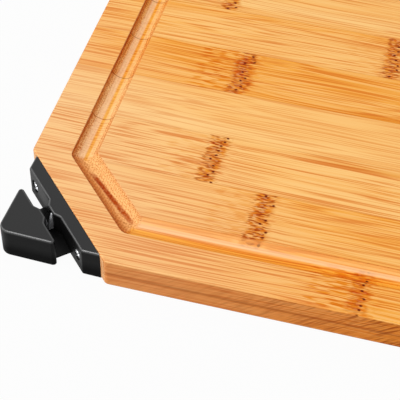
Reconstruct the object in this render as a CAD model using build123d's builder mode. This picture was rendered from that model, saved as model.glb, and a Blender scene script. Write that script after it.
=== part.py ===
"""Two-ply bamboo cutting board with a juice groove and a knife sharpener on its cut corner.

Millimetres, +Z up. The origin is under the middle of the board, on the surface that it rests on.
+X runs along the long side and the laths, +Y from the front edge to the back edge.
"""
import os
from math import cos, hypot, radians, sin, sqrt, tan

from build123d import *

os.makedirs("parts", exist_ok=True)

# Board
BOARD_LENGTH = 340.0
BOARD_WIDTH = 240.0
TOP_PLY = 7.0
BOTTOM_PLY = 7.0
CORNER_RADIUS = 5.0  # the three whole corners
EDGE_ROUND = 0.8  # along the rims of the top and the underside

# Corner cut, measured along the front edge and along the left edge
CUT_FRONT = 49.5
CUT_LEFT = 53.0
CUT_CORNER_RADIUS = 3.0

# Laths: the front lath of each ply is trimmed with the board's edge
LATH_WIDTH = 28.6
TOP_FIRST_LATH = 25.3
BOTTOM_FIRST_LATH = 15.8
NARROWEST_LATH = 8.0

# Juice groove, cut by a ball-nosed cutter
GROOVE_INSET = 22.3  # from the edges to the middle of the groove
GROOVE_CUT_INSET = 18.6  # from the corner cut to the middle of the groove
GROOVE_DEPTH = 3.5
CUTTER_RADIUS = 6.0

# Bar of the sharpener, on the cut face
BAR_LENGTH = 64.6
BAR_THICKNESS = 5.7
BAR_END_ROUND = 1.3

# Knuckle guard of the sharpener, a right-angled triangle seen from above
KNIFE_SLOT = 6.9  # between the bar and the guard
GUARD_LEG = 26.9  # sides of the triangle beside the right angle
GUARD_TIP_ROUND = 5.0
GUARD_SIDE_ROUND = 1.4
GUARD_WALL = 2.0
TOP_EDGE_ROUND = 1.2

# Cheeks that narrow the knife slot beside the blades
CHEEK_BASE = 11.2
CHEEK_TOP = 5.4
CHEEK_HEIGHT = 1.7
CHEEK_ROUND = 1.3

# Neck, a low hump between the bar and the guard
NECK_LENGTH = 28.2
NECK_CREST = 4.0
NECK_EDGE = 0.8
NECK_ROOT = 1.0  # how far the neck runs into the bar and into the guard

# Carbide blades and their holder
BLADE_LENGTH = 10.0
BLADE_WIDTH = 5.0
BLADE_THICKNESS = 1.5
BLADE_LEAN = 14.0  # degrees from upright
BLADE_FOOT = 1.4  # lowest corner of a blade above the underside
BLADE_CROSSING = 6.2  # height at which the inner edges of the two blades cross
HOLDER_LENGTH = 6.0
HOLDER_HEIGHT = 3.8
HOLDER_SEAT = 1.5  # how far the holder reaches into the bar and into the guard

# Base cover, let into the underside of the hollow guard
COVER_THICKNESS = 2.4

# Screws
SCREW_SPACING = 43.0
SCREW_DIAMETER = 3.0
SCREW_HEAD = 6.0
SCREW_LENGTH = 18.0
SCREW_SINK = 0.6  # from the bar's face to the top of the head
COVER_SCREW_SPACING = 12.0
COVER_SCREW_DIAMETER = 1.8
COVER_SCREW_HEAD = 3.6
COVER_SCREW_LENGTH = 7.0
COVER_SCREW_SINK = 0.4
COVER_SCREW_INSET = 6.5  # from the guard's slot face
BOSS_WALL = 1.4
SCREW_POINT = 0.2  # radius of a screw's blunt tip
COUNTERSINK = 90.0  # degrees
CLEARANCE = 0.1

# Places worked out from the sizes above
thickness = TOP_PLY + BOTTOM_PLY
left = -BOARD_LENGTH / 2
front = -BOARD_WIDTH / 2
cut_length = hypot(CUT_FRONT, CUT_LEFT)
guard_face = BAR_THICKNESS + KNIFE_SLOT
guard_half = GUARD_LEG / sqrt(2)
guard_roof = thickness - GUARD_WALL
cover_screw_place = guard_face + COVER_SCREW_INSET
throat_middle = BAR_THICKNESS + KNIFE_SLOT / 2
lean = radians(BLADE_LEAN)
blade_drop = BLADE_WIDTH * sin(lean)
inner_foot = BLADE_FOOT + blade_drop
blade_top = inner_foot + BLADE_LENGTH * cos(lean)
blade_reach = (blade_top - BLADE_CROSSING) * tan(lean) + BLADE_WIDTH * cos(lean)
blade_slot = 2 * BLADE_THICKNESS + CLEARANCE
holder_reach = KNIFE_SLOT / 2 + HOLDER_SEAT
pilot_depth = SCREW_LENGTH - BAR_THICKNESS + SCREW_SINK + CLEARANCE

# Frame of the sharpener: x along the cut face, y out of it, z up
sharpener = Plane(
    origin=(left + CUT_FRONT / 2, front + CUT_LEFT / 2, 0),
    x_dir=(-CUT_FRONT, CUT_LEFT, 0),
    z_dir=(0, 0, 1),
)
# Upright planes through its middle: one sees the bar from the front, one cuts bar, slot and guard
facing = Plane(sharpener.origin, x_dir=sharpener.x_dir, z_dir=-sharpener.y_dir)
section = Plane(sharpener.origin, x_dir=sharpener.y_dir, z_dir=sharpener.x_dir)
# Planes that the screws are driven into, with their normals towards the screwdriver
cut_face = Plane(
    sharpener.from_local_coords((0, 0, thickness / 2)),
    x_dir=sharpener.x_dir,
    z_dir=sharpener.y_dir,
)
guard_underside = Plane(
    sharpener.from_local_coords((0, cover_screw_place, 0)),
    x_dir=sharpener.x_dir,
    z_dir=(0, 0, -1),
)


def groove_corners():
    """Turns of the cutter's middle, on runs parallel to the edges and to the corner cut."""
    inward_x = CUT_LEFT / cut_length
    inward_y = CUT_FRONT / cut_length
    reach = CUT_FRONT * inward_x + GROOVE_CUT_INSET
    on_front = (reach - inward_y * GROOVE_INSET) / inward_x
    on_left = (reach - inward_x * GROOVE_INSET) / inward_y
    height = thickness - GROOVE_DEPTH + CUTTER_RADIUS
    return [
        Vector(left + on_front, front + GROOVE_INSET, height),
        Vector(-left - GROOVE_INSET, front + GROOVE_INSET, height),
        Vector(-left - GROOVE_INSET, -front - GROOVE_INSET, height),
        Vector(left + GROOVE_INSET, -front - GROOVE_INSET, height),
        Vector(left + GROOVE_INSET, front + on_left, height),
    ]


def lath_edges(first):
    """Front and back edge of each lath of a ply, counted from the front of the board."""
    joints = [first]
    while joints[-1] + LATH_WIDTH < BOARD_WIDTH - NARROWEST_LATH:
        joints.append(joints[-1] + LATH_WIDTH)
    return list(zip([0.0, *joints], [*joints, BOARD_WIDTH]))


def cheek(wall, height):
    """Corners of a cheek on a wall of the knife slot, in order of falling x."""
    return [
        (CHEEK_BASE / 2, wall),
        (CHEEK_TOP / 2, wall + height),
        (-CHEEK_TOP / 2, wall + height),
        (-CHEEK_BASE / 2, wall),
    ]


def guard_corners():
    """Corners of the guard without its cheek."""
    return [(-guard_half, guard_face), (guard_half, guard_face), (0, guard_face + guard_half)]


def blade_corners(side):
    """Side view of a blade, a plate that leans from the slot's middle towards side, +1 or -1."""
    foot = throat_middle - side * (BLADE_CROSSING - inner_foot) * tan(lean)
    top = throat_middle + side * (blade_top - BLADE_CROSSING) * tan(lean)
    back = side * BLADE_WIDTH * cos(lean)
    return [
        (foot, inner_foot),
        (top, blade_top),
        (top + back, blade_top - blade_drop),
        (foot + back, inner_foot - blade_drop),
    ]


def screw_corners(diameter, head, length):
    """Half section of a countersunk screw: the head's top at y = 0, the point at y = -length."""
    radius = (diameter - CLEARANCE) / 2
    rim = head / 2 - CLEARANCE
    return [
        (0, 0),
        (rim, 0),
        (radius, radius - rim),
        (radius, 2 * radius - length),
        (SCREW_POINT, -length),
        (0, -length),
    ]


# Board blank: outline, rims, juice groove and pilot holes, before it is parted into laths
with BuildPart() as blank:
    with BuildSketch() as outline:
        with BuildLine():
            Polyline(
                (left, front + CUT_LEFT),
                (left + CUT_FRONT, front),
                (-left, front),
                (-left, -front),
                (left, -front),
                close=True,
            )
        make_face()
        fillet(outline.vertices().sort_by_distance((left, front))[2:], CORNER_RADIUS)
        fillet(outline.vertices().sort_by_distance((left, front))[:2], CUT_CORNER_RADIUS)
    extrude(amount=thickness)
    rims = blank.edges().group_by(Axis.Z)
    fillet(rims[0] + rims[-1], EDGE_ROUND)
    # The cutter's straight runs, and its ball at the turns with the poles clear of the wood
    turns = groove_corners()
    for start, end in zip(turns, turns[1:] + turns[:1]):
        with BuildSketch(Plane(start, x_dir=(0, 0, 1), z_dir=end - start)):
            Circle(CUTTER_RADIUS)
        extrude(amount=(end - start).length, mode=Mode.SUBTRACT)
    with Locations(*turns):
        Sphere(CUTTER_RADIUS, rotation=(90, 0, 0), mode=Mode.SUBTRACT)
    with Locations(cut_face):
        with GridLocations(SCREW_SPACING, 1, 2, 1):
            Hole(SCREW_DIAMETER / 2, depth=pilot_depth)

# Laths of both plies
for ply, first_lath, underside, height in (
    ("bottom", BOTTOM_FIRST_LATH, 0.0, BOTTOM_PLY),
    ("top", TOP_FIRST_LATH, BOTTOM_PLY, TOP_PLY),
):
    for number, (near, far) in enumerate(lath_edges(first_lath), start=1):
        with BuildPart() as lath:
            with BuildSketch(Plane.XY.offset(underside)):
                with Locations((0, front + (near + far) / 2)):
                    Rectangle(BOARD_LENGTH, far - near)
            extrude(amount=height)
            add(blank.part, mode=Mode.INTERSECT)
        lath.part.label = f"{ply}_lath_{number}"
        export_step(lath.part, f"parts/{ply}_lath_{number}.step")

# Sharpener housing: bar, guard and neck in one moulding
with BuildPart() as housing:
    # Bar with its cheek, cut off at its ends in line with the board's edges
    with BuildSketch(sharpener) as bar_plan:
        with BuildLine():
            Polyline(
                (-BAR_LENGTH / 2, 0),
                (BAR_LENGTH / 2, 0),
                (BAR_LENGTH / 2 - BAR_THICKNESS, BAR_THICKNESS),
                *cheek(BAR_THICKNESS, CHEEK_HEIGHT),
                (BAR_THICKNESS - BAR_LENGTH / 2, BAR_THICKNESS),
                close=True,
            )
        make_face()
        _, wall, crown = bar_plan.vertices().group_by(Axis.Y)
        fillet(wall.sort_by(Axis.X)[1:-1] + crown, CHEEK_ROUND)
        ends = bar_plan.vertices().sort_by(Axis.X)
        fillet([ends[1], ends[-2]], BAR_END_ROUND)
    extrude(amount=thickness)
    # Guard with its cheek
    with BuildSketch(sharpener) as guard_plan:
        with BuildLine():
            Polyline(
                (guard_half, guard_face),
                *cheek(guard_face, -CHEEK_HEIGHT),
                (-guard_half, guard_face),
                (0, guard_face + guard_half),
                close=True,
            )
        make_face()
        crown, wall, _ = guard_plan.vertices().group_by(Axis.Y)
        fillet(wall.sort_by(Axis.X)[1:-1] + crown, CHEEK_ROUND)
        ends = guard_plan.vertices().sort_by(Axis.X)
        fillet([ends[0], ends[-1]], GUARD_SIDE_ROUND)
        fillet(guard_plan.vertices().sort_by(Axis.Y)[-1:], GUARD_TIP_ROUND)
    extrude(amount=thickness)
    # Rounded top edges, all but the one against the wood
    top_edges = housing.edges().group_by(Axis.Z)[-1]
    wood_side = sharpener.from_local_coords((0, 0, thickness))
    fillet(top_edges.sort_by_distance(wood_side)[1:], TOP_EDGE_ROUND)
    # Neck
    with BuildSketch(facing.offset(-guard_face - NECK_ROOT)):
        with BuildLine():
            ThreePointArc((-NECK_LENGTH / 2, NECK_EDGE), (0, NECK_CREST), (NECK_LENGTH / 2, NECK_EDGE))
            Polyline(
                (-NECK_LENGTH / 2, NECK_EDGE),
                (-NECK_LENGTH / 2, 0),
                (NECK_LENGTH / 2, 0),
                (NECK_LENGTH / 2, NECK_EDGE),
            )
        make_face()
    extrude(amount=KNIFE_SLOT + 2 * NECK_ROOT)
    # The guard's hollow, open underneath, and the bosses that the base cover rests on
    with BuildSketch(sharpener) as hollow_plan:
        with BuildLine():
            Polyline(*guard_corners(), close=True)
        make_face()
        offset(amount=-GUARD_WALL, mode=Mode.REPLACE)
        fillet(hollow_plan.vertices().sort_by(Axis.Y)[-1:], GUARD_TIP_ROUND - GUARD_WALL)
    extrude(amount=guard_roof, mode=Mode.SUBTRACT)
    with BuildSketch(sharpener.offset(COVER_THICKNESS)):
        with Locations((0, cover_screw_place)):
            with GridLocations(COVER_SCREW_SPACING, 1, 2, 1):
                Circle(COVER_SCREW_DIAMETER / 2 + BOSS_WALL)
    extrude(amount=guard_roof - COVER_THICKNESS)
    with Locations(guard_underside):
        with GridLocations(COVER_SCREW_SPACING, 1, 2, 1):
            Hole(COVER_SCREW_DIAMETER / 2, depth=COVER_SCREW_SINK + COVER_SCREW_LENGTH + CLEARANCE)
    # Slot for the blades and pocket for their holder, both open underneath
    with BuildSketch(sharpener):
        with Locations((0, throat_middle)):
            Rectangle(blade_slot, 2 * (blade_reach + CLEARANCE))
    extrude(amount=blade_top + CLEARANCE, mode=Mode.SUBTRACT)
    with BuildSketch(sharpener):
        with Locations((0, throat_middle)):
            Rectangle(HOLDER_LENGTH + CLEARANCE, 2 * holder_reach + CLEARANCE)
    extrude(amount=NECK_CREST + CLEARANCE, mode=Mode.SUBTRACT)
    # Countersunk screw holes with recesses for the heads
    with Locations(cut_face.offset(BAR_THICKNESS - SCREW_SINK)):
        with GridLocations(SCREW_SPACING, 1, 2, 1):
            CounterSinkHole(SCREW_DIAMETER / 2, SCREW_HEAD / 2, counter_sink_angle=COUNTERSINK)
housing.part.label = "sharpener_housing"
export_step(housing.part, "parts/sharpener_housing.step")

# Base cover, inside the guard's walls
with BuildPart() as cover:
    with BuildSketch(sharpener) as cover_plan:
        with BuildLine():
            Polyline(*guard_corners(), close=True)
        make_face()
        offset(amount=-GUARD_WALL - CLEARANCE, mode=Mode.REPLACE)
        fillet(cover_plan.vertices().sort_by(Axis.Y)[-1:], GUARD_TIP_ROUND - GUARD_WALL - CLEARANCE)
    extrude(amount=COVER_THICKNESS)
    with Locations(guard_underside.offset(-COVER_SCREW_SINK)):
        with GridLocations(COVER_SCREW_SPACING, 1, 2, 1):
            CounterSinkHole(
                COVER_SCREW_DIAMETER / 2, COVER_SCREW_HEAD / 2, counter_sink_angle=COUNTERSINK
            )
cover.part.label = "base_cover"
export_step(cover.part, "parts/base_cover.step")

# Blades: the front one leans towards the bar, the rear one towards the guard
with BuildPart() as front_blade:
    with BuildSketch(section):
        with BuildLine():
            Polyline(*blade_corners(-1), close=True)
        make_face()
    extrude(amount=-BLADE_THICKNESS)
front_blade.part.label = "front_blade"
export_step(front_blade.part, "parts/front_blade.step")

with BuildPart() as rear_blade:
    with BuildSketch(section):
        with BuildLine():
            Polyline(*blade_corners(1), close=True)
        make_face()
    extrude(amount=BLADE_THICKNESS)
rear_blade.part.label = "rear_blade"
export_step(rear_blade.part, "parts/rear_blade.step")

# Blade holder: a block in the neck with a pocket for the foot of each blade
with BuildPart() as holder:
    with BuildSketch(sharpener):
        with Locations((0, throat_middle)):
            Rectangle(HOLDER_LENGTH, 2 * holder_reach)
    extrude(amount=HOLDER_HEIGHT)
    for side in (-1, 1):
        with BuildSketch(section):
            with BuildLine():
                Polyline(*blade_corners(side), close=True)
            make_face()
            offset(amount=CLEARANCE, mode=Mode.REPLACE)
        extrude(amount=side * blade_slot / 2, mode=Mode.SUBTRACT)
holder.part.label = "blade_holder"
export_step(holder.part, "parts/blade_holder.step")

# Wood screws through the bar
screw_seat = Plane(
    sharpener.from_local_coords((SCREW_SPACING / 2, BAR_THICKNESS - SCREW_SINK, thickness / 2)),
    x_dir=sharpener.x_dir,
    z_dir=(0, 0, 1),
)
with BuildPart() as mounting_screws:
    with BuildSketch(screw_seat):
        with BuildLine():
            Polyline(*screw_corners(SCREW_DIAMETER, SCREW_HEAD, SCREW_LENGTH), close=True)
        make_face()
    revolve(axis=Axis(screw_seat.origin, screw_seat.y_dir))
    mirror(about=section)
mounting_screws.part.label = "mounting_screws"
export_step(mounting_screws.part, "parts/mounting_screws.step")

# Small screws through the base cover
cover_screw_seat = Plane(
    sharpener.from_local_coords((COVER_SCREW_SPACING / 2, cover_screw_place, COVER_SCREW_SINK)),
    x_dir=sharpener.x_dir,
    z_dir=sharpener.y_dir,
)
with BuildPart() as cover_screws:
    with BuildSketch(cover_screw_seat):
        with BuildLine():
            Polyline(
                *screw_corners(COVER_SCREW_DIAMETER, COVER_SCREW_HEAD, COVER_SCREW_LENGTH), close=True
            )
        make_face()
    revolve(axis=Axis(cover_screw_seat.origin, cover_screw_seat.y_dir))
    mirror(about=section)
cover_screws.part.label = "cover_screws"
export_step(cover_screws.part, "parts/cover_screws.step")
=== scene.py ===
"""Looks of a laminated bamboo cutting board with a pull-through knife sharpener on its cut corner."""

import math
from functools import partial
from typing import NamedTuple

import bpy
import numpy as np
from bpy.props import FloatProperty, FloatVectorProperty, PointerProperty
from mathutils import Matrix, Vector


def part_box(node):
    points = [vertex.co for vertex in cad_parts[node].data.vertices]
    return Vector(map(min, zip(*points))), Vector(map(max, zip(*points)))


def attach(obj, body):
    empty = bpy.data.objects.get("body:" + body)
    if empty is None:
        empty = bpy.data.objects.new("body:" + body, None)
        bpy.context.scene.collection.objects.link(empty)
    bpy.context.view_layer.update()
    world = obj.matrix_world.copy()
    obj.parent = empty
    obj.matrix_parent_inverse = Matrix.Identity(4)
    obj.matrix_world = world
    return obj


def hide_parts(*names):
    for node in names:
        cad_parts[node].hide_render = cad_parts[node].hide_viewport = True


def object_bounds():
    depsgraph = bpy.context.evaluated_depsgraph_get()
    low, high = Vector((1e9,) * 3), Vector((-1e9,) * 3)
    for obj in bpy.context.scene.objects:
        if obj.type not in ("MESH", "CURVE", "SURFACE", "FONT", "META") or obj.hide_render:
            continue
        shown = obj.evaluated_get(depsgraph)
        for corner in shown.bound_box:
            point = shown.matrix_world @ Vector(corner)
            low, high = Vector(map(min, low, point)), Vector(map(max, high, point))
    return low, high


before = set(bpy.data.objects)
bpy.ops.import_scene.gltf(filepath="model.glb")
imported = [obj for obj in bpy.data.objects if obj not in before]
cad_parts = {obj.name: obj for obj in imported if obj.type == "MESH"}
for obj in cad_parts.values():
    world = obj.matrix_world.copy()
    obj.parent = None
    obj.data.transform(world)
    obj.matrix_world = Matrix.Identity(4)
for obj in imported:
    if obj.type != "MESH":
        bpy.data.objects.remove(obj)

bl_info = {
    "name": "Bamboo cutting board",
    "version": (1, 0, 0),
    "blender": (4, 5, 0),
    "location": "View3D > Sidebar > Board",
    "description": "Finishes the laths, the sharpener and the stage of a bamboo cutting board",
    "category": "Object",
}

CAD_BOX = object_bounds()
MM = 0.001

# Board, in millimetres from its bottom centre
BOARD_LEFT, BOARD_FRONT = (float(v) / MM for v in CAD_BOX[0][:2])
BOARD_TOP = float(CAD_BOX[1][2]) / MM
CUT_FRONT = 49.5
CUT_LEFT = 53.0
CUT_LENGTH = math.hypot(CUT_FRONT, CUT_LEFT)
GROOVE_INSET = 22.3
GROOVE_CUT_INSET = 18.6
GROOVE_HALF = 5.45
BURN_START = (-142.1, -70.8)
BURN_END = (-116.3, -94.9)

# Sharpener: x along the cut face, y out of it, z up, from the middle of the cut
SHARPENER_ORIGIN = np.array([BOARD_LEFT + CUT_FRONT / 2, BOARD_FRONT + CUT_LEFT / 2, 0.0])
SHARPENER_AXES = np.array([
    [-CUT_FRONT / CUT_LENGTH, CUT_LEFT / CUT_LENGTH, 0.0],
    [-CUT_LEFT / CUT_LENGTH, -CUT_FRONT / CUT_LENGTH, 0.0],
    [0.0, 0.0, 1.0],
])
BAR_THICKNESS = 5.7
KNIFE_SLOT = 6.9
SCREW_SPACING = 43.0
SCREW_SINK = 0.6
COVER_SCREW_SPACING = 12.0
COVER_SCREW_INSET = 6.5
COVER_SCREW_SINK = 0.4
BLADE_LENGTH = 10.0
BLADE_WIDTH = 5.0
BLADE_THICKNESS = 1.5
BLADE_LEAN = math.radians(14.0)
BLADE_FOOT = 1.4
BLADE_CROSSING = 6.2
BLADE_BEVEL = 0.3

# How a coat of colour is laid on the wood: paint covers what is under it, stain darkens it
PAINT = "MIX"
STAIN = "MULTIPLY"

# The camera that took the picture, as fitted to the board's corner: millimetres and degrees
IMAGE_SIDE = 400
VIEW_TARGET = (-92.563, -76.835, 14.0)
VIEW_AZIMUTH = 14.9334
VIEW_ELEVATION = 46.3835
VIEW_ROLL = -0.5157
VIEW_DISTANCE = 581.355
FOCAL_PIXELS = 1396.54
SENSOR = 36.0


def linear(code):
    """A colour written as sRGB hex, as linear red, green, blue and alpha."""
    parts = np.array([int(code[k:k + 2], 16) for k in (1, 3, 5)]) / 255
    low = parts / 12.92
    high = ((parts + 0.055) / 1.055) ** 2.4
    return tuple(float(v) for v in np.where(parts <= 0.04045, low, high)) + (1.0,)


class Lath(NamedTuple):
    """What sets one lath apart: tone (0 pale to 1 amber), figure (strength of its lines), slant of its
    fibres in degrees, knuckles as places along x, bold and smear (strength of the knuckles and of the
    strokes to their left), and deep orange streaks. Each of the streaks gives where along x it starts and is
    full, its place along y, its half width and its strength."""

    tone: float
    figure: float
    slant: float
    knuckles: tuple
    bold: float = 0.8
    smear: float = 0.3
    streaks: tuple = ()


# Front to back, in millimetres
UPPER_LATHS = (
    Lath(1.08, 0.88, -0.4, (-17.7,), 0.36, 0.93),
    Lath(0.82, 0.79, 0.5, (-65.0, 146.0), 0.95, 0.42),
    Lath(0.64, 0.95, 0.9, (-92.4, 118.0), 0.83, 0.35, ((-75.0, -30.0, -40.9, 2.6, 0.55),)),
    Lath(0.34, 0.60, 0.3, (84.0,)),
    Lath(1.00, 0.80, 0.8, (-93.6, 131.0), 0.80, 0.95, ((-68.0, -10.0, -7.2, 2.0, 0.85),)),
    Lath(0.74, 0.90, -0.5, (-28.8,)),
    Lath(0.40, 0.75, 0.4, (-112.0, 98.0)),
    Lath(0.64, 0.95, -0.7, (41.0,)),
    Lath(0.48, 0.85, 0.5, (-61.0,)),
)
LOWER_LATHS = (
    Lath(0.90, 0.80, 0.4, (57.0,)),
    Lath(0.40, 0.80, -0.6, (-101.0, 112.0)),
    Lath(0.55, 0.95, 0.7, (12.0,)),
    Lath(0.30, 0.70, -0.3, (-70.0, 133.0)),
    Lath(0.62, 0.90, 0.5, (88.0,)),
    Lath(0.45, 0.85, 0.8, (-126.0, 64.0)),
    Lath(0.35, 0.75, -0.5, (-20.0,)),
    Lath(0.57, 0.95, 0.3, (103.0,)),
    Lath(0.48, 0.85, -0.8, (-84.0, 121.0)),
)


# Settings that a user would change

def colour(name, description, code):
    """A colour setting whose default is an sRGB hex code."""
    return FloatVectorProperty(name=name, description=description, subtype="COLOR", size=4,
                               min=0.0, max=1.0, default=linear(code))


def length(name, description, millimetres):
    """A length setting with its default in millimetres."""
    return FloatProperty(name=name, description=description, default=millimetres * MM, unit="LENGTH",
                         precision=5)


def power(name, description, watts):
    """A lamp's power setting with its default in watts."""
    return FloatProperty(name=name, description=description, default=watts, unit="POWER")


class BambooSettings(bpy.types.PropertyGroup):
    """Colours and fibre sizes of the laths."""

    pale: colour("Pale", "Pale ground between the fibres", "#FFD28B")
    amber: colour("Amber", "Amber ground of the darker laths", "#F4A640")
    fleck: colour("Fleck", "Cream flecks in a knuckle", "#FFCC8C")
    # Painted sheen: a pale pinkish veil laid on the ground towards the cut corner
    painted_sheen: colour("Bloom", "Dull bloom of the ground towards the cut corner", "#F3C496")
    # The end grain's own pale ground, also used for painted highlights in the groove
    end_grain_and_highlight: colour("End grain", "Ground of faces cut across the fibres", "#FFD2A2")
    fibre: colour("Fibre", "Stain of the dark fibre lines", "#DE9638")
    # Deep orange streaks, also used for painted shadow lines along the groove's lips
    streak_and_lip_shade: colour("Streak", "Stain of the deep orange streaks", "#E8BA38")
    smear: colour("Smear", "Stain of the strokes beside a knuckle", "#EEC048")
    knuckle: colour("Knuckle", "Stain of the strokes in a knuckle", "#C49040")
    pit: colour("Pit", "Pits along a knuckle", "#661200")
    strand: colour("Strand", "Stain of the fibres seen end on", "#CC8E42")
    # Painted bounce light: an orange glow on the groove's outer wall and floor
    painted_bounce_light: colour("Burnished", "Stain of the groove's wall along the fibres", "#FCE26E")
    # Painted shade: brown on the groove's outer wall
    painted_wall_shade: colour("Scorched", "Stain of the groove's wall across the fibres", "#E09A3A")
    burn: colour("Burn", "Stain of the burn mark in the groove", "#B4601A")
    # Browner upright sides: partly their side grain, partly painted shade
    side: colour("Side", "Stain of the board's upright sides", "#FFECEA")
    glue: colour("Glue", "Stain of glue lines and saw marks", "#B08048")
    streak_width: length("Streak width", "Width of the broad streaks", 11)
    streak_length: length("Streak length", "Length of the broad streaks", 260)
    line_width: length("Line width", "Distance between the fibre lines", 1.9)
    line_length: length("Line length", "Length over which a fibre line fades", 170)
    hair_width: length("Hair width", "Distance between the finest lines", 0.64)
    hair_length: length("Hair length", "Length over which the finest lines fade", 60)


class SharpenerSettings(bpy.types.PropertyGroup):
    """Colours of the sharpener."""

    plastic: colour("Plastic", "Black moulded plastic", "#101010")
    carbide: colour("Carbide", "Ground carbide blades", "#B9BABD")
    steel: colour("Steel", "Plated screws", "#E2E3E5")


class StageSettings(bpy.types.PropertyGroup):
    """Floor and light."""

    floor: colour("Floor", "Pale floor", "#C8C8C6")
    key_strength: power("Key light", "Power of the lamp at the front", 54.0)
    side_strength: power("Side light", "Power of the lamp at the left", 18.0)
    soft_strength: power("Soft light", "Power of the large lamp at the back", 12.0)
    fill_strength: FloatProperty(name="Fill light", description="Brightness of the surroundings",
                                 default=0.46)


class BoardSettings(bpy.types.PropertyGroup):
    """All settings of the board."""

    bamboo: PointerProperty(type=BambooSettings)
    sharpener: PointerProperty(type=SharpenerSettings)
    stage: PointerProperty(type=StageSettings)


# Materials

def add_node(tree, kind, inputs=(), **settings):
    """Adds a node with its settings, and fills or joins its inputs. A node given as an input joins by its
    first output."""
    made = tree.nodes.new("ShaderNode" + kind)
    for name, value in settings.items():
        setattr(made, name, value)
    for socket, value in dict(inputs).items():
        if isinstance(value, bpy.types.Node):
            value = value.outputs[0]
        if isinstance(value, bpy.types.NodeSocket):
            tree.links.new(value, made.inputs[socket])
        else:
            made.inputs[socket].default_value = value
    return made


def new_material(name):
    """An empty node material, a function that adds to its tree, and its Principled shader, which is joined
    to the output."""
    material = bpy.data.materials.new(name)
    material.use_nodes = True
    material.node_tree.nodes.clear()
    add = partial(add_node, material.node_tree)
    shader = add("BsdfPrincipled")
    add("OutputMaterial", {"Surface": shader})
    return material, add, shader


def join(shader, **inputs):
    """Joins nodes or sockets to a shader's inputs, which are written with _ for a space."""
    for name, value in inputs.items():
        socket = value.outputs[0] if isinstance(value, bpy.types.Node) else value
        shader.id_data.links.new(socket, shader.inputs[name.replace("_", " ")])


def distance(add, value, middle):
    """How far a value lies from a middle, without its sign."""
    away = add("Math", {0: value, 1: middle}, operation="SUBTRACT")
    return add("Math", {0: away}, operation="ABSOLUTE")


def off_groove(add, share, hollow):
    """A coat's share, kept out of the groove where the lath has one."""
    if not hollow:
        return share
    outside = add("Math", {0: 1.0, 1: hollow}, operation="SUBTRACT")
    return add("Math", {0: share, 1: outside}, operation="MULTIPLY")


def knuckle_distance(add, axes, lath, seed):
    """How far a point lies along x from the lath's nearest knuckle, with its sign. The knuckle's line wavers
    across the lath."""
    wave, swing = 9.0, 2.0
    first, last = lath.knuckles[0], lath.knuckles[-1]
    past = add("Math", {0: axes.outputs["X"], 1: (first + last) / 2}, operation="GREATER_THAN")
    middle = add("MapRange", {"Value": past, "To Min": first, "To Max": last})
    away = add("Math", {0: axes.outputs["X"], 1: middle}, operation="SUBTRACT")
    row = add("Math", {0: axes.outputs["Y"], 1: 1 / wave, 2: seed}, operation="MULTIPLY_ADD")
    turns = add("TexNoise", {"W": row, "Scale": 1.0, "Detail": 2.0}, noise_dimensions="1D")
    waver = add("MapRange", {"Value": turns, "To Min": -swing, "To Max": swing})
    return add("Math", {0: away, 1: waver}, operation="SUBTRACT")


def grain_place(add, place, reach, lath, seed):
    """Where a point lies in the culm: turned by the lath's slant, wavering slowly by some millimetres, and
    curled where the fibres part round a knuckle. reach is the distance from the knuckle."""
    slow_wave, slow_swing = (110, 30, 30), 5.0
    curl_wave, curl_swing = (6, 3, 3), 1.4
    dip = math.radians(0.5)
    shift = (137 * seed, 91 * seed, 37 * seed)
    turned = add("Mapping", {"Vector": place, "Location": shift,
                             "Rotation": (0, dip, math.radians(lath.slant))})
    curl = add("MapRange", {"Value": reach, "From Min": 1.0, "From Max": 12.0,
                            "To Min": curl_swing, "To Max": 0.0}, interpolation_type="SMOOTHSTEP")
    grain = turned
    for wave, swing in ((slow_wave, slow_swing), (curl_wave, curl)):
        scaled = add("VectorMath", {0: turned, 1: wave}, operation="DIVIDE")
        noise = add("TexNoise", {"Vector": scaled, "Scale": 1.0, "Detail": 1.0})
        centred = add("VectorMath", {0: noise.outputs["Color"], 1: (0.5, 0.5, 0.5)}, operation="SUBTRACT")
        sideways = add("VectorMath", {0: centred, 1: (0, 1, 1)}, operation="MULTIPLY")
        bend = add("VectorMath", {0: sideways, "Scale": swing}, operation="SCALE")
        grain = add("VectorMath", {0: grain, 1: bend}, operation="ADD")
    return grain


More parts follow.
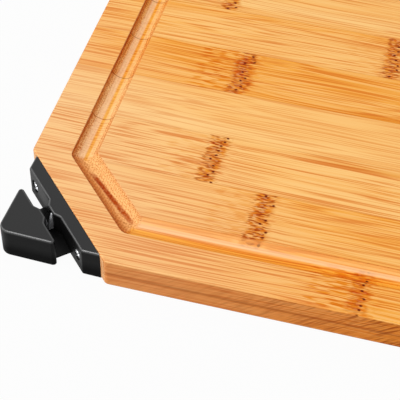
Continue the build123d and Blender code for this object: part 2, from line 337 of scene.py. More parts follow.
def grain_coats(add, grain, place, level, lath, colours):
    """Fibres as noise drawn out along the grain: broad amber streaks, fibre lines dark and pale, and hair
    lines. The ground gets a pale pinkish painted sheen towards the cut corner. Lines and painted sheen are
    weaker on the upright sides. level is 1 on the flat faces. Each coat grows from its least to its most
    share between two values of what it follows."""
    sheen_start, sheen_full = 85, 155
    noises = []
    for width, run, detail in ((colours.streak_width, colours.streak_length, 0.0),
                               (colours.line_width, colours.line_length, 1.0),
                               (colours.hair_width, colours.hair_length, 0.0)):
        size = (run / MM, width / MM, width / MM)
        scaled = add("VectorMath", {0: grain, 1: size}, operation="DIVIDE")
        noises.append(add("TexNoise", {"Vector": scaled, "Scale": 1.0, "Detail": detail, "Roughness": 0.5}))
    broad, lines, hairs = noises
    figure = lath.figure
    shown = add("MapRange", {"Value": level, "To Min": 0.6, "To Max": 1.0})
    # Painted sheen towards the cut corner, weaker on the upright sides
    outward = tuple(SHARPENER_AXES[1])
    corner = add("VectorMath", {0: place, 1: outward}, operation="DOT_PRODUCT").outputs["Value"]
    corner = add("MapRange", {"Value": corner, "From Min": sheen_start, "From Max": sheen_full})
    corner = add("Math", {0: corner, 1: shown}, operation="MULTIPLY")
    coats = []
    for value, start, end, least, most, over, blend in (
        (broad, 0.34, 0.66, lath.tone - 0.17, lath.tone + 0.17, colours.amber, PAINT),
        (corner, 0.0, 1.0, 0.0, 0.46, colours.painted_sheen, PAINT),
        (lines, 0.48, 0.30, 0.0, 0.04 * figure, colours.pale, PAINT),
        (hairs, 0.48, 0.34, 0.0, 0.46 * figure, colours.pale, PAINT),
        (lines, 0.50, 0.70, 0.0, 0.06 * figure, colours.fibre, STAIN),
        (hairs, 0.50, 0.68, 0.0, 0.74 * figure, colours.fibre, STAIN),
        (corner, 0.0, 1.0, 0.0, 0.12, colours.painted_sheen, PAINT),
    ):
        share = add("MapRange", {"Value": value, "From Min": start, "From Max": end,
                                 "To Min": least, "To Max": most})
        if value in (lines, hairs):
            share = add("Math", {0: share, 1: shown}, operation="MULTIPLY")
        coats.append((share, over, blend))
    return coats, hairs


def streak_coats(add, axes, lath, colours):
    """Deep orange streaks along the lath, each growing from nothing to its full width."""
    coats = []
    for start, full, middle, half, strength in lath.streaks:
        grown = add("MapRange", {"Value": axes.outputs["X"], "From Min": start, "From Max": full},
                    interpolation_type="SMOOTHSTEP")
        away = distance(add, axes.outputs["Y"], middle)
        share = add("MapRange", {"Value": away, "From Min": 0.2 * half, "From Max": half,
                                 "To Min": strength, "To Max": 0.0})
        coats.append((add("Math", {0: share, 1: grown}, operation="MULTIPLY"), colours.streak_and_lip_shade, STAIN))
    return coats


def fibre_rows(add, y, pitch, seed):
    """Bundles of fibres side by side: how far a point lies from its bundle's middle, in pitches and with its
    sign, and three random numbers for each bundle."""
    row = add("Math", {0: y, 1: 1 / pitch, 2: seed}, operation="MULTIPLY_ADD")
    cells = add("TexVoronoi", {"W": row, "Scale": 1.0, "Randomness": 0.6}, voronoi_dimensions="1D")
    off = add("Math", {0: row, 1: cells.outputs["W"]}, operation="SUBTRACT")
    return off, add("SeparateColor", {"Color": cells.outputs["Color"]})


def knuckle_coats(add, u, y, level, lath, colours, seed):
    """A knuckle. Its fibres show as short strokes: orange ones far to its left, amber and brown ones in its
    middle, with cream flecks between. The strokes are noise drawn out along x, cut off at a level that rises
    away from their middle. Some of the bundles of fibres across the lath end in a pit, at a place of their
    own. u is the distance from the knuckle with its sign, level is 1 on the flat faces. Each coat has its
    middle and how far it goes, the length and width of its strokes, the noise at which they start and are
    full, and its strength."""
    thinning = 0.16
    pitch, pit_size, without_pit = 3.1, (0.72, 0.60, 1.0), 0.12
    shown = add("MapRange", {"Value": level, "To Min": 0.15, "To Max": 1.0})
    bold = lath.bold
    coats = []
    for number, (middle, far, run, width, start, end, strength, over, blend) in enumerate((
        (-9.0, 20.0, 6.0, 0.9, 0.44, 0.58, lath.smear, colours.smear, STAIN),
        (-1.2, 5.5, 5.0, 2.5, 0.28, 0.52, 0.90, colours.smear, STAIN),
        (-1.5, 7.0, 3.4, 1.2, 0.40, 0.54, 0.55 * bold, colours.streak_and_lip_shade, STAIN),
        (-1.5, 6.5, 3.2, 0.9, 0.43, 0.55, bold, colours.knuckle, STAIN),
        (-2.0, 6.0, 2.2, 0.8, 0.52, 0.64, 0.38 * bold, colours.fleck, PAINT),
    )):
        reach = distance(add, u, middle)
        strokes = add("CombineXYZ", {"X": u, "Y": y, "Z": 10 * seed + 5 * number})
        scaled = add("VectorMath", {0: strokes, 1: (run, width, 1)}, operation="DIVIDE")
        noise = add("TexNoise", {"Vector": scaled, "Scale": 1.0, "Detail": 0.0})
        sunk = add("Math", {0: reach, 1: -thinning / far, 2: noise}, operation="MULTIPLY_ADD")
        share = add("MapRange", {"Value": sunk, "From Min": start, "From Max": end, "To Max": strength})
        fade = add("MapRange", {"Value": reach, "From Min": 0.5 * far, "From Max": far,
                                "To Min": 1.0, "To Max": 0.0}, interpolation_type="SMOOTHSTEP")
        fade = add("Math", {0: fade, 1: shown}, operation="MULTIPLY")
        coats.append((add("Math", {0: share, 1: fade}, operation="MULTIPLY"), over, blend))
    spread = 4 * (bold - 0.3)
    off, chance = fibre_rows(add, y, pitch, seed)
    stagger = add("MapRange", {"Value": chance.outputs["Red"], "To Min": -spread, "To Max": spread})
    along = add("Math", {0: u, 1: stagger}, operation="ADD")
    sideways = add("Math", {0: off, 1: pitch}, operation="MULTIPLY")
    pit_place = add("CombineXYZ", {"X": along, "Y": sideways})
    scaled = add("VectorMath", {0: pit_place, 1: pit_size}, operation="DIVIDE")
    away = add("VectorMath", {0: scaled}, operation="LENGTH").outputs["Value"]
    share = add("MapRange", {"Value": away, "From Min": 0.5, "From Max": 1.2, "To Min": 1.0, "To Max": 0.0})
    there = add("Math", {0: chance.outputs["Green"], 1: without_pit}, operation="GREATER_THAN")
    there = add("Math", {0: there, 1: level}, operation="MULTIPLY")
    pit = add("Math", {0: share, 1: there}, operation="MULTIPLY")
    coats.append((pit, colours.pit, PAINT))
    return coats, pit


def groove_place(add, place, axes):
    """Where a point lies in the juice groove: how far outside its middle line, which is the largest of the
    distances past its runs, a share that is 1 in the hollow, and one for each run: across the fibres, along
    them and on the slant."""
    past = []
    for axis, low in (("X", BOARD_LEFT), ("Y", BOARD_FRONT)):
        away = add("Math", {0: axes.outputs[axis]}, operation="ABSOLUTE")
        past.append(add("Math", {0: away, 1: -low - GROOVE_INSET}, operation="SUBTRACT"))
    outward = SHARPENER_AXES[1]
    slanted = add("VectorMath", {0: place, 1: tuple(outward)}, operation="DOT_PRODUCT").outputs["Value"]
    slanted_reach = float(outward @ SHARPENER_ORIGIN) - GROOVE_CUT_INSET
    past.append(add("Math", {0: slanted, 1: slanted_reach}, operation="SUBTRACT"))
    straight = add("Math", {0: past[0], 1: past[1]}, operation="MAXIMUM")
    s = add("Math", {0: straight, 1: past[2]}, operation="MAXIMUM")
    wide = add("Math", {0: s}, operation="ABSOLUTE")
    within = add("MapRange", {"Value": wide, "From Min": GROOVE_HALF + 0.4, "From Max": GROOVE_HALF + 0.1})
    below = add("MapRange", {"Value": axes.outputs["Z"],
                             "From Min": BOARD_TOP - 0.05, "From Max": BOARD_TOP - 0.5})
    hollow = add("Math", {0: within, 1: below}, operation="MULTIPLY")
    runs = []
    for own in past:
        behind = add("Math", {0: own, 1: s}, operation="SUBTRACT")
        runs.append(add("MapRange", {"Value": behind, "From Min": -1.2, "From Max": -0.1}))
    return s, hollow, runs


def burn_share(add, place, hollow):
    """The cutter's burn mark in the groove: a band between two points, with ragged strength."""
    start, end = np.array(BURN_START), np.array(BURN_END)
    span = float(np.linalg.norm(end - start))
    course = np.append(end - start, 0.0) / span
    sideways = np.array([-course[1], course[0], 0.0])
    burn = hollow
    for direction, middle, full, gone in (
        (sideways, float(sideways[:2] @ start), 0.6, 1.4),
        (course, float(course[:2] @ (start + end)) / 2, 0.40 * span, 0.52 * span),
    ):
        there = add("VectorMath", {0: place, 1: tuple(direction)}, operation="DOT_PRODUCT").outputs["Value"]
        away = distance(add, there, middle)
        share = add("MapRange", {"Value": away, "From Min": full, "From Max": gone,
                                 "To Min": 1.0, "To Max": 0.0})
        burn = add("Math", {0: burn, 1: share}, operation="MULTIPLY")
    ragged = add("TexNoise", {"Vector": place, "Scale": 0.45, "Detail": 3.0})
    torn = add("MapRange", {"Value": ragged, "From Min": 0.35, "From Max": 0.6,
                            "To Min": 0.75, "To Max": 1.0})
    return add("Math", {0: burn, 1: torn}, operation="MULTIPLY")


def groove_coats(add, place, axes, colours):
    """Painted light in the juice groove, and the cutter's burn mark. Each coat is a band along one run, with
    its middle, the distances from that at which it is full and gone, and its strength: the outer wall gets
    painted shade, brown across the fibres, and a painted orange glow of bounced light, which reaches the
    floor; the floor and inner wall get pale painted highlights, and the lips thin painted shadow lines. The
    slanted run has the end grain's own paler colour and a burn mark along its bottom."""
    s, hollow, runs = groove_place(add, place, axes)
    across_run, along_run, slanted_run = runs
    coats = []
    for middle, full, gone, run, strength, over, blend in (
        # Painted highlights: pale bands on the floor and inner wall of the runs along and across the fibres
        (-2.7, 0.5, 1.1, along_run, 0.68, colours.end_grain_and_highlight, PAINT),
        (-4.3, 0.6, 1.8, along_run, 0.20, colours.pale, PAINT),
        (1.8, 0.9, 1.9, across_run, 0.70, colours.end_grain_and_highlight, PAINT),
        (-2.0, 0.8, 1.8, across_run, 0.40, colours.pale, PAINT),
        # The slanted run's own paler end grain
        (-2.0, 5.0, 7.0, slanted_run, 0.70, colours.end_grain_and_highlight, PAINT),
        # Painted bounce light on the outer wall and the floor
        (2.4, 2.6, 4.2, along_run, 0.80, colours.painted_bounce_light, STAIN),
        (-0.3, 0.4, 1.1, across_run, 0.75, colours.painted_bounce_light, STAIN),
        # Painted shadow lines along the inner lips
        (-5.6, 0.5, 1.2, across_run, 0.50, colours.streak_and_lip_shade, STAIN),
        (-5.9, 0.4, 1.1, along_run, 0.22, colours.streak_and_lip_shade, STAIN),
        # Painted bounce light over the slanted run
        (-2.0, 5.0, 7.0, slanted_run, 0.40, colours.painted_bounce_light, STAIN),
        # Painted shadow line along the outer lip
        (5.6, 1.0, 2.6, along_run, 0.22, colours.streak_and_lip_shade, STAIN),
        # Painted shade on the outer wall
        (6.0, 0.7, 2.1, across_run, 0.95, colours.painted_wall_shade, STAIN),
        (6.0, 2.2, 7.0, slanted_run, 0.70, colours.painted_wall_shade, STAIN),
    ):
        away = distance(add, s, middle)
        share = add("MapRange", {"Value": away, "From Min": full, "From Max": gone,
                                 "To Min": strength, "To Max": 0.0}, interpolation_type="SMOOTHSTEP")
        share = add("Math", {0: share, 1: run}, operation="MULTIPLY")
        coats.append((add("Math", {0: share, 1: hollow}, operation="MULTIPLY"), over, blend))
    coats.append((burn_share(add, place, hollow), colours.burn, STAIN))
    crossed = add("Math", {0: hollow, 1: across_run}, operation="MULTIPLY")
    crossed_slant = add("Math", {0: hollow, 1: slanted_run}, operation="MULTIPLY")
    return coats, hollow, crossed, crossed_slant


def cut_coats(add, grain, facing, hollow, crossed, crossed_slant, colours):
    """Faces cut across the fibres show them end on, as brown dots in a pale ground, faint on the groove's
    floor. The dots are drawn 0.6 mm apart, coarser than the real ones, so that they show. crossed and
    crossed_slant are the groove's runs across the fibres and on the slant."""
    strand_size = (1.2, 0.62, 0.5)
    across = add("Math", {0: facing.outputs["X"]}, operation="ABSOLUTE")
    end = add("MapRange", {"Value": across, "From Min": 0.34, "From Max": 0.60},
              interpolation_type="SMOOTHSTEP")
    for torn, strength in ((crossed, 0.25), (crossed_slant, 0.75)):
        if torn:
            torn = add("Math", {0: torn, 1: strength}, operation="MULTIPLY")
            end = add("Math", {0: end, 1: torn}, operation="MAXIMUM")
    scaled = add("VectorMath", {0: grain, 1: strand_size}, operation="DIVIDE")
    strands = add("TexVoronoi", {"Vector": scaled, "Scale": 1.0, "Randomness": 0.45})
    dot = add("MapRange", {"Value": strands.outputs["Distance"], "From Min": 0.22, "From Max": 0.62,
                           "To Min": 1.0, "To Max": 0.0})
    dot = add("Math", {0: dot, 1: end}, operation="MULTIPLY")
    open_end = add("MapRange", {"Value": across, "From Min": 0.45, "From Max": 0.75, "To Max": 0.55})
    open_end = off_groove(add, open_end, hollow)
    return [(open_end, colours.end_grain_and_highlight, PAINT), (dot, colours.strand, STAIN)]


def side_coats(add, place, axes, facing, hollow, crossed, node, colours):
    """Upright sides along the fibres are browner, partly for their side grain and partly as painted shade of
    faces that take less light, with slanting saw marks, stronger to the right. A dark band runs along the
    top and the bottom of each ply's sides: between the plies it is the glue line, and it also darkens the
    sides under the board's top edge and along its foot. Glue also shows as a faint line at the lath's
    joints, and a deeper one where the groove crosses them."""
    saw_slant, saw_size = math.radians(38), (9, 9, 1.0)
    faint_until, full_from = -80, 0
    deepening = 3.0
    low, high = (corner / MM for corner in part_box(node))
    level = add("Math", {0: facing.outputs["Z"]}, operation="ABSOLUTE")
    # Upright sides browner: partly side grain, partly painted shade of faces that take less light
    side = add("MapRange", {"Value": level, "From Min": 0.75, "From Max": 0.2})
    across = add("Math", {0: facing.outputs["X"]}, operation="ABSOLUTE")
    along = add("MapRange", {"Value": across, "From Min": 0.7, "From Max": 0.4})
    side = add("Math", {0: side, 1: along}, operation="MULTIPLY")
    side = off_groove(add, side, hollow)
    slant = add("Mapping", {"Vector": place, "Rotation": (0, saw_slant, 0)})
    slant = add("VectorMath", {0: slant, 1: saw_size}, operation="DIVIDE")
    teeth = add("TexNoise", {"Vector": slant, "Scale": 1.0, "Detail": 2.0})
    patch = add("MapRange", {"Value": axes.outputs["X"], "From Min": faint_until, "From Max": full_from,
                             "To Min": 0.2, "To Max": 1.0})
    mark = add("MapRange", {"Value": teeth, "From Min": 0.42, "From Max": 0.68, "To Max": 0.90})
    mark = add("Math", {0: mark, 1: patch}, operation="MULTIPLY")
    mark = add("Math", {0: mark, 1: side}, operation="MULTIPLY")
    coats = [(side, colours.side, STAIN), (mark, colours.glue, STAIN)]
    half = (high - low) / 2
    middle = (high + low) / 2
    for axis, number, width, strength in (("Y", 1, 0.45, 0.20), ("Z", 2, 1.1, 0.55)):
        edge = float(half[number])
        away = distance(add, axes.outputs[axis], float(middle[number]))
        line = add("MapRange", {"Value": away, "From Min": edge - width, "From Max": edge,
                                "To Max": strength})
        if axis == "Z":
            line = add("Math", {0: line, 1: side}, operation="MULTIPLY")
        elif crossed:
            deep = add("Math", {0: crossed, 1: deepening, 2: 1.0}, operation="MULTIPLY_ADD")
            line = add("Math", {0: line, 1: deep}, operation="MULTIPLY")
        coats.append((line, colours.glue, STAIN))
    return coats


def bamboo(name, node, lath, seed, colours, grooved):
    """Bamboo, sawn into laths, planed, glued and oiled: long straight fibres, amber and cream, with a satin
    film. Its knuckles, where the culm was walled off, are brown bands with a row of small dark pits. Each
    layer of the pattern is a coat of one colour, and the coats are laid over each other in order. Places are
    in millimetres."""
    pit_depth, relief = 1.5, 0.08 * MM
    material, add, shader = new_material(name)
    coordinates = add("TexCoord")
    place = add("VectorMath", {0: coordinates.outputs["Object"], "Scale": 1 / MM}, operation="SCALE")
    axes = add("SeparateXYZ", {"Vector": place})
    facing = add("SeparateXYZ", {"Vector": coordinates.outputs["Normal"]})
    level = add("Math", {0: facing.outputs["Z"]}, operation="ABSOLUTE")
    level = add("MapRange", {"Value": level, "From Min": 0.4, "From Max": 0.8})
    u = knuckle_distance(add, axes, lath, seed)
    reach = add("Math", {0: u}, operation="ABSOLUTE")
    grain = grain_place(add, place, reach, lath, seed)
    coats, hairs = grain_coats(add, grain, place, level, lath, colours)
    coats += streak_coats(add, axes, lath, colours)
    knuckles, pit = knuckle_coats(add, u, axes.outputs["Y"], level, lath, colours, seed)
    coats += knuckles
    hollow = crossed = crossed_slant = None
    if grooved:
        worn, hollow, crossed, crossed_slant = groove_coats(add, place, axes, colours)
        coats += worn
    coats += cut_coats(add, grain, facing, hollow, crossed, crossed_slant, colours)
    coats += side_coats(add, place, axes, facing, hollow, crossed, node, colours)
    tint = colours.pale
    for share, over, blend in coats:
        tint = add("Mix", {0: share, 6: tint, 7: over}, data_type="RGBA", blend_type=blend).outputs[2]
    height = add("Math", {0: pit, 1: -pit_depth, 2: hairs}, operation="MULTIPLY_ADD")
    bump = add("Bump", {"Height": height, "Strength": 0.2, "Distance": relief})
    rough = add("MapRange", {"Value": hairs, "To Min": 0.42, "To Max": 0.56})
    join(shader, Base_Color=tint, Normal=bump, Roughness=rough)
    shader.inputs["Specular IOR Level"].default_value = 0.06
    return material


def moulded_abs(colours):
    """ABS, injection moulded and spark-textured: black with a satin sheen. Its gloss is set by how a face
    tilts,
    which paints the light: painted highlights on the rounded upper edges, a little sheen on level faces and
    hardly any on upright ones, which paints them darker. The very fine even grain is drawn 0.35 mm coarse so
    that it shows. Faces low in the knife slot get less gloss, as painted shade."""
    grit, relief = 0.35 * MM, 0.05 * MM
    slot_shade_full_until, slot_shade_gone_from = 3.5 * MM, 8 * MM
    material, add, shader = new_material("moulded_abs")
    coordinates = add("TexCoord")
    place = coordinates.outputs["Object"]
    grain = add("TexNoise", {"Vector": place, "Scale": 1 / grit, "Detail": 2.0})
    bump = add("Bump", {"Height": grain, "Strength": 0.08, "Distance": relief})
    rough = add("MapRange", {"Value": grain, "To Min": 0.32, "To Max": 0.46})
    # Painted shade low in the knife slot: the gloss falls there
    height = add("SeparateXYZ", {"Vector": place}).outputs["Z"]
    shown = add("MapRange", {"Value": height, "From Min": slot_shade_full_until, "From Max": slot_shade_gone_from,
                             "To Min": 0.25, "To Max": 1.0})
    # Painted highlights on the rounded upper edges and painted shade on upright faces, by gloss set from the
    # tilt
    tilt = add("SeparateXYZ", {"Vector": coordinates.outputs["Normal"]}).outputs["Z"]
    edge = add("MapRange", {"Value": tilt, "From Min": 0.05, "From Max": 0.55,
                            "To Min": 0.075, "To Max": 0.85})
    flat = add("MapRange", {"Value": tilt, "From Min": 0.90, "From Max": 0.995,
                            "To Min": 1.0, "To Max": 0.28})
    gloss = add("Math", {0: edge, 1: flat}, operation="MULTIPLY")
    gloss = add("Math", {0: gloss, 1: shown}, operation="MULTIPLY")
    join(shader, Roughness=rough, Normal=bump, Specular_IOR_Level=gloss)
    shader.inputs["Base Color"].default_value = colours.plastic
    shader.inputs["IOR"].default_value = 1.5
    # The even gloss of an export that leaves out a linked one
    shader.inputs["Specular IOR Level"].default_value = 0.3
    return material


def ground_carbide(colours):
    """Cemented carbide, hard grains in a metal binder, sintered and ground: a dull cool grey, only part
    metal to the eye, with fine level grinding lines."""
    scratch_size = (4 * MM, 4 * MM, 0.25 * MM)
    material, add, shader = new_material("ground_carbide")
    place = add("TexCoord").outputs["Object"]
    lines = add("VectorMath", {0: place, 1: scratch_size}, operation="DIVIDE")
    grit = add("TexNoise", {"Vector": lines, "Scale": 1.0, "Detail": 2.0})
    rough = add("MapRange", {"Value": grit, "To Min": 0.35, "To Max": 0.55})
    join(shader, Roughness=rough)
    shader.inputs["Base Color"].default_value = colours.carbide
    shader.inputs["Metallic"].default_value = 0.4
    return material


def plated_steel(colours):
    """Steel wire, cold headed and nickel plated: bright, with soft tool marks."""
    mark_size = 0.5 * MM
    material, add, shader = new_material("plated_steel")
    place = add("TexCoord").outputs["Object"]
    marks = add("TexNoise", {"Vector": place, "Scale": 1 / mark_size, "Detail": 3.0})
    rough = add("MapRange", {"Value": marks, "To Min": 0.16, "To Max": 0.32})
    join(shader, Roughness=rough)
    shader.inputs["Base Color"].default_value = colours.steel
    shader.inputs["Metallic"].default_value = 1.0
    return material


def shown_white(add, share):
    """A factor that is the share for rays from the camera and from gloss and glass, and nothing for the
    light."""
    path = add("LightPath")
    shown = path.outputs["Is Camera Ray"]
    for kind in ("Is Glossy Ray", "Is Transmission Ray"):
        shown = add("Math", {0: shown, 1: path.outputs[kind]}, operation="MAXIMUM")
    return add("Math", {0: shown, 1: share}, operation="MULTIPLY")


# Meshes

def closed_shells(name, grids):
    """One mesh of closed shells. Each grid is points[row, column] in the sharpener's frame, in millimetres:
    the columns go round counter-clockwise, and the first and the last row are the poles, facing out and
    in."""
    crease = math.radians(35)
    corners, faces, count = [], [], 0
    for points in grids:
        rows, columns = points.shape[:2]
        placed = SHARPENER_ORIGIN + points @ SHARPENER_AXES
        corners.append(np.concatenate([placed[:1, 0], placed[1:-1].reshape(-1, 3), placed[-1:, 0]]))
        here = count + 1 + np.arange((rows - 2) * columns).reshape(rows - 2, columns)
        beside = np.roll(here, -1, axis=1)
        first = np.full(columns, count)
        count += len(corners[-1])
        last = np.full(columns, count - 1)
        faces += np.stack([here[:-1], here[1:], beside[1:], beside[:-1]], -1).reshape(-1, 4).tolist()
        faces += np.stack([first, here[0], beside[0]], -1).tolist()
        faces += np.stack([last, beside[-1], here[-1]], -1).tolist()
    mesh = bpy.data.meshes.new(name)
    mesh.from_pydata((np.concatenate(corners) * MM).tolist(), [], faces)
    mesh.shade_smooth()
    mesh.set_sharp_from_angle(angle=crease)
    return mesh


def add_piece(name, mesh, material, slot, *nodes):
    """Puts a mesh on the board in place of CAD nodes."""
    piece = bpy.data.objects.new(name, mesh)
    bpy.context.scene.collection.objects.link(piece)
    mesh.materials.append(material)
    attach(piece, "root")
    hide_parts(*nodes)


def finish_node(name, material):
    """Gives a CAD node its material."""
    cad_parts[name].material_slots[0].material = material


def finish_laths(laths, node, finish, colours, seed, step, grooved):
    """Gives the laths of a ply, front to back, a bamboo each. Its pattern is seeded by the lath's number."""
    for number, lath in enumerate(laths, 1):
        name = f"{node}_{number}"
        material = bamboo(f"{finish}_{number}", name, lath, seed + step * number, colours, grooved)
        finish_node(name, material)


class Screw(NamedTuple):
    """Sizes of a countersunk cross-head screw in millimetres. arm and depth are those of its cross."""

    head: float
    shank: float
    total: float
    thread: float
    arm: float
    depth: float


def screw_grid(screw):
    """A screw along -z from its head's top at z = 0. Rings widen over the head, where a cross is sunk: its
    depth falls from the middle to the ends of the arms, which are a fifth of the head wide. Then they narrow
    at 45 degrees to the shank. The thread is a ridge whose height depends on z / pitch - angle / turn, and
    it runs out at the point."""
    columns, head_rings, cone_rings, shank_rings = 72, 26, 6, 120
    wall_margin, wall_width, end_width = 0.12, 0.18, 0.25
    arm_share, arm_rise, head_dome = 0.10, 0.45, 0.06
    core_share, point_share, crest = 0.74, 0.07, 1.6
    angle = np.linspace(0, 2 * np.pi, columns, endpoint=False)
    rim, core = screw.head / 2, core_share * screw.shank / 2
    spread = np.linspace(0, 1, head_rings)[:, None] * rim
    x, y = spread * np.cos(angle), spread * np.sin(angle)
    half = arm_share * screw.head
    slopes = []
    for along, across in ((np.abs(x), np.abs(y)), (np.abs(y), np.abs(x))):
        wall = np.clip((half + wall_margin - across) / wall_width, 0, 1)
        end = np.clip((screw.arm - along) / end_width, 0, 1)
        slopes.append(wall * end * (1 - arm_rise * along / screw.arm))
    dome = head_dome * rim * (1 - (spread / rim) ** 2)
    top = np.stack([x, y, dome - screw.depth * np.maximum(*slopes)], -1)
    neck = rim - screw.shank / 2
    drop = np.concatenate([[0.05 * rim], np.linspace(0.1 * rim, neck, cone_rings),
                           np.linspace(neck, screw.total, shank_rings)[1:]])
    ridge = np.abs((drop[:, None] / screw.thread - angle / (2 * np.pi)) % 1 - 0.5) * 2
    fade = np.clip((screw.total - drop) / screw.shank, point_share, 1)[:, None]
    bolt = (core + (screw.shank / 2 - core) * np.clip(crest * (ridge - 1) + 1, 0, 1)) * fade
    cone = np.broadcast_to((rim - drop)[:, None], bolt.shape)
    radius = np.where(drop[:, None] < neck, np.maximum(cone, core), bolt)
    side = np.stack([radius * np.cos(angle), radius * np.sin(angle), -drop[:, None] + 0 * radius], -1)
    point = side[-1:] * [0, 0, 1]
    return np.concatenate([top, side, point])


def blade_grid(side):
    """A blade plate. Its outline, with its corners cut, is a ring of eight points in the plane across the
    slot. It is drawn in by the bevel at both faces, and each face closes at the plate's middle. side is +1
    towards the guard."""
    middle = BAR_THICKNESS + KNIFE_SLOT / 2
    drop = BLADE_WIDTH * math.sin(BLADE_LEAN)
    foot = BLADE_FOOT + drop
    rise = np.array([side * math.sin(BLADE_LEAN), math.cos(BLADE_LEAN)])
    back = np.array([side * math.cos(BLADE_LEAN), -math.sin(BLADE_LEAN)])
    start = np.array([middle - side * (BLADE_CROSSING - foot) * math.tan(BLADE_LEAN), foot])
    centre = start + rise * BLADE_LENGTH / 2 + back * BLADE_WIDTH / 2
    rings = []
    for across, inset in ((0.0, BLADE_BEVEL), (BLADE_BEVEL, 0.0), (BLADE_THICKNESS - BLADE_BEVEL, 0.0),
                          (BLADE_THICKNESS, BLADE_BEVEL)):
        long, wide = BLADE_LENGTH / 2 - inset, BLADE_WIDTH / 2 - inset
        cut = BLADE_BEVEL
        turns = np.array([(long, wide - cut), (long - cut, wide), (cut - long, wide), (-long, wide - cut),
                          (-long, cut - wide), (cut - long, -wide), (long - cut, -wide), (long, cut - wide)])
        outline = centre + turns[:, :1] * rise + turns[:, 1:] * back
        rings.append(np.column_stack([np.full(8, side * across), outline]))
    poles = [np.tile([side * across, *centre], (8, 1)) for across in (0.0, BLADE_THICKNESS)]
    return np.stack([poles[0], *rings, poles[1]])[::-1]


# Operators

class BOARD_OT_upper_laths(bpy.types.Operator):
    """Finishes the nine laths of the upper ply"""

    bl_idname = "board.upper_laths"
    bl_label = "Upper laths"

    def execute(self, context):
        colours = context.scene.board.bamboo
        finish_laths(UPPER_LATHS, "top_lath", "bamboo_upper", colours, seed=0.0, step=3.1, grooved=True)
        return {"FINISHED"}


class BOARD_OT_lower_laths(bpy.types.Operator):
    """Finishes the nine laths of the lower ply"""

    bl_idname = "board.lower_laths"
    bl_label = "Lower laths"

    def execute(self, context):
        colours = context.scene.board.bamboo
        finish_laths(LOWER_LATHS, "bottom_lath", "bamboo_lower", colours, seed=50.0, step=2.3, grooved=False)
        return {"FINISHED"}


class BOARD_OT_moulding(bpy.types.Operator):
    """Finishes the sharpener's plastic"""

    bl_idname = "board.moulding"
    bl_label = "Sharpener moulding"

    def execute(self, context):
        plastic = moulded_abs(context.scene.board.sharpener)
        for name in ("sharpener_housing", "base_cover", "blade_holder"):
            finish_node(name, plastic)
        return {"FINISHED"}


class BOARD_OT_blades(bpy.types.Operator):
    """Makes the two carbide blades"""

    bl_idname = "board.blades"
    bl_label = "Blades"

    def execute(self, context):
        carbide = ground_carbide(context.scene.board.sharpener)
        for name, side in (("front_blade", -1), ("rear_blade", 1)):
            mesh = closed_shells(f"{name}_plate", [blade_grid(side)])
            add_piece(f"{name}_plate", mesh, carbide, "carbide", name)
        return {"FINISHED"}


class BOARD_OT_screws(bpy.types.Operator):
    """Makes the wood screws and the small screws under the guard"""

    bl_idname = "board.screws"
    bl_label = "Screws"

    def execute(self, context):
        steel = plated_steel(context.scene.board.sharpener)
        wood_screw = screw_grid(Screw(head=5.8, shank=2.9, total=18.0, thread=1.3, arm=1.75, depth=1.25))
        cover_screw = screw_grid(Screw(head=3.4, shank=1.7, total=7.0, thread=0.7, arm=1.1, depth=0.7))
        outward = wood_screw[..., [0, 2, 1]] * [-1, 1, 1]
        downward = cover_screw * [1, -1, -1]
        head = BAR_THICKNESS - SCREW_SINK
        guard = BAR_THICKNESS + KNIFE_SLOT + COVER_SCREW_INSET
        pairs = (
            ("wood_screws", outward, (SCREW_SPACING / 2, head, BOARD_TOP / 2), "mounting_screws"),
            ("small_screws", downward, (COVER_SCREW_SPACING / 2, guard, COVER_SCREW_SINK), "cover_screws"),
        )
        for name, grid, (spread, out, up), node in pairs:
            grids = [grid + [side * spread, out, up] for side in (-1, 1)]
            add_piece(name, closed_shells(name, grids), steel, "screw_steel", node)
        return {"FINISHED"}


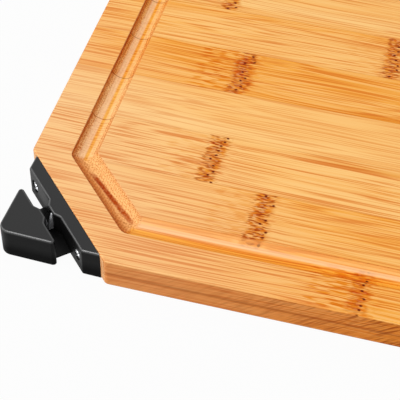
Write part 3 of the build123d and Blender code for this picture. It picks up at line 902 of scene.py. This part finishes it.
class BOARD_OT_stage(bpy.types.Operator):
    """Sets the floor, the light and the camera"""

    bl_idname = "board.stage"
    bl_label = "Stage"

    def execute(self, context):
        scene = context.scene
        settings = scene.board.stage
        self.floor(scene, settings)
        self.light(scene, settings)
        self.camera(scene)
        scene.view_settings.view_transform = "Standard"
        return {"FINISHED"}

    def floor(self, scene, settings):
        """A wide level sheet under the board, of matt paper that shows white and keeps a faint shadow."""
        reach, gap = 4.0, 0.05 * MM
        shown = 0.95
        low = float(CAD_BOX[0][2]) - gap
        corners = [(-reach, -reach, low), (reach, -reach, low), (reach, reach, low), (-reach, reach, low)]
        mesh = bpy.data.meshes.new("floor")
        mesh.from_pydata(corners, [], [(0, 1, 2, 3)])
        floor = bpy.data.objects.new("floor", mesh)
        scene.collection.objects.link(floor)
        material, add, shader = new_material("paper_sweep")
        shader.inputs["Base Color"].default_value = settings.floor
        shader.inputs["Roughness"].default_value = 0.9
        shader.inputs["Specular IOR Level"].default_value = 0.0
        white = add("Emission", {"Strength": 1.0})
        mixed = add("MixShader", {0: shown_white(add, shown), 1: shader, 2: white})
        surface = material.node_tree.nodes["Material Output"].inputs["Surface"]
        material.node_tree.links.new(mixed.outputs[0], surface)
        mesh.materials.append(material)

    def light(self, scene, settings):
        """A white surround, a lamp high above the front left, one low at the left that draws the edges of
        the knife slot, and a larger one at the back that gives level faces their sheen. Their sizes and
        places are in metres."""
        world = bpy.data.worlds.new("surround")
        scene.world = world
        world.use_nodes = True
        world.node_tree.nodes.clear()
        add = partial(add_node, world.node_tree)
        fill = add("Background", {"Strength": settings.fill_strength})
        white = add("Background", {"Color": (1, 1, 1, 1), "Strength": 1.0})
        mixed = add("MixShader", {0: shown_white(add, 1.0), 1: fill, 2: white})
        add("OutputWorld", {"Surface": mixed})
        aim = Vector((-0.05, -0.03, 0.01))
        for name, size, watts, place in (
            ("key", 1.0, settings.key_strength, Vector((-1.00, -1.70, 2.40))),
            ("side", 1.2, settings.side_strength, Vector((-2.50, -0.50, 1.50))),
            ("softbox", 2.0, settings.soft_strength, Vector((-0.50, 1.90, 2.10))),
        ):
            data = bpy.data.lights.new(name, "AREA")
            data.size = size
            data.energy = watts
            lamp = bpy.data.objects.new(name, data)
            turn = (place - aim).to_track_quat("Z", "Y").to_matrix().to_4x4()
            lamp.matrix_world = Matrix.Translation(place) @ turn
            scene.collection.objects.link(lamp)

    def camera(self, scene):
        """The camera stands on the fitted line of sight and looks at the corner."""
        azimuth, elevation, roll = (math.radians(a) for a in (VIEW_AZIMUTH, VIEW_ELEVATION, VIEW_ROLL))
        forward = Vector((-math.sin(azimuth) * math.cos(elevation), math.cos(azimuth) * math.cos(elevation),
                          -math.sin(elevation)))
        level = Vector((math.cos(azimuth), math.sin(azimuth), 0))
        down = forward.cross(level)
        right = math.cos(roll) * level + math.sin(roll) * down
        up = math.sin(roll) * level - math.cos(roll) * down
        data = bpy.data.cameras.new("camera")
        data.sensor_width = SENSOR
        data.lens = FOCAL_PIXELS * SENSOR / IMAGE_SIDE
        data.clip_start = 0.01
        camera = bpy.data.objects.new("camera", data)
        place = MM * (Vector(VIEW_TARGET) - VIEW_DISTANCE * forward)
        camera.matrix_world = Matrix.Translation(place) @ Matrix((right, up, -forward)).transposed().to_4x4()
        scene.collection.objects.link(camera)
        scene.camera = camera


class BOARD_PT_panel(bpy.types.Panel):
    """Lists the steps that finish the board"""

    bl_idname = "BOARD_PT_panel"
    bl_label = "Bamboo board"
    bl_space_type = "VIEW_3D"
    bl_region_type = "UI"
    bl_category = "Board"

    def draw(self, context):
        for step in STEPS:
            self.layout.operator(step.bl_idname)


STEPS = (BOARD_OT_upper_laths, BOARD_OT_lower_laths, BOARD_OT_moulding, BOARD_OT_blades, BOARD_OT_screws,
         BOARD_OT_stage)
CLASSES = (BambooSettings, SharpenerSettings, StageSettings, BoardSettings, *STEPS, BOARD_PT_panel)


def register():
    for each in CLASSES:
        bpy.utils.register_class(each)
    bpy.types.Scene.board = PointerProperty(type=BoardSettings)


def unregister():
    del bpy.types.Scene.board
    for each in reversed(CLASSES):
        bpy.utils.unregister_class(each)


def main():
    register()
    bpy.ops.board.upper_laths()
    bpy.ops.board.lower_laths()
    bpy.ops.board.moulding()
    bpy.ops.board.blades()
    bpy.ops.board.screws()
    bpy.ops.board.stage()


if __name__ == "__main__":
    main()
